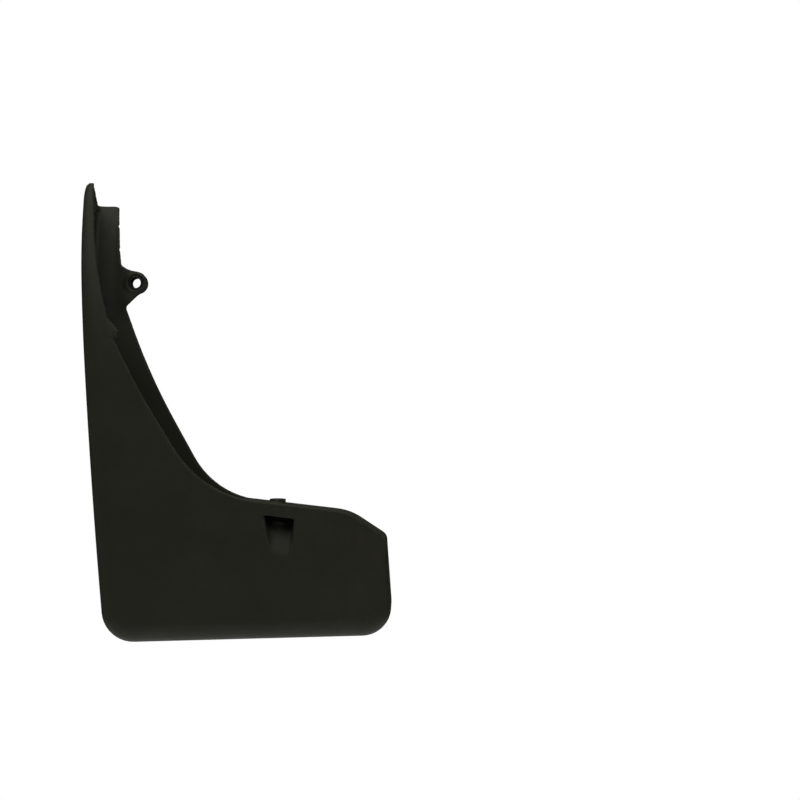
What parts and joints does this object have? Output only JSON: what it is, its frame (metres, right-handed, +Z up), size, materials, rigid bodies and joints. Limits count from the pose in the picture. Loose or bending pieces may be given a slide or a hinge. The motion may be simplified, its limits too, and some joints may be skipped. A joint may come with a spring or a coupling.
{
  "type": "mud flap",
  "caption": "Moulded wheel-arch mud flap with a curved finger, fixing ear, screw pocket, ribbed back and push rivets with sliding pins.",
  "frame": {"origin": "centre of the ear hole, on the front face of the ear", "axes": "+Z up, the smooth face of the panel looks along -Y, +X points inboard"},
  "size_m": [0.253, 0.0883, 0.3722],
  "materials": {
    "moulding": "fine textured black polypropylene",
    "bush": "dark phosphated steel",
    "rivet": "black nylon",
    "rivet_pin": "black nylon",
    "foam": "closed-cell foam"
  },
  "bodies": {
    "flap": {"flap_moulding": "moulding", "ear_bush": "bush", "boss_bush": "bush", "rivet_body_upper": "rivet", "rivet_body_middle": "rivet", "rivet_body_lower": "rivet", "channel_strip": "foam"},
    "pin_upper": {"rivet_pin_upper": "rivet_pin"},
    "pin_middle": {"rivet_pin_middle": "rivet_pin"},
    "pin_lower": {"rivet_pin_lower": "rivet_pin"}
  },
  "joints": [
    {"name": "pin_upper_slide", "type": "slide", "parent": "flap", "child": "pin_upper", "axis": [0, 1, 0], "range_m": [0, 0.008]},
    {"name": "pin_middle_slide", "type": "slide", "parent": "flap", "child": "pin_middle", "axis": [0, 1, 0], "range_m": [0, 0.008]},
    {"name": "pin_lower_slide", "type": "slide", "parent": "flap", "child": "pin_lower", "axis": [0, 1, 0], "range_m": [0, 0.008]}
  ]
}
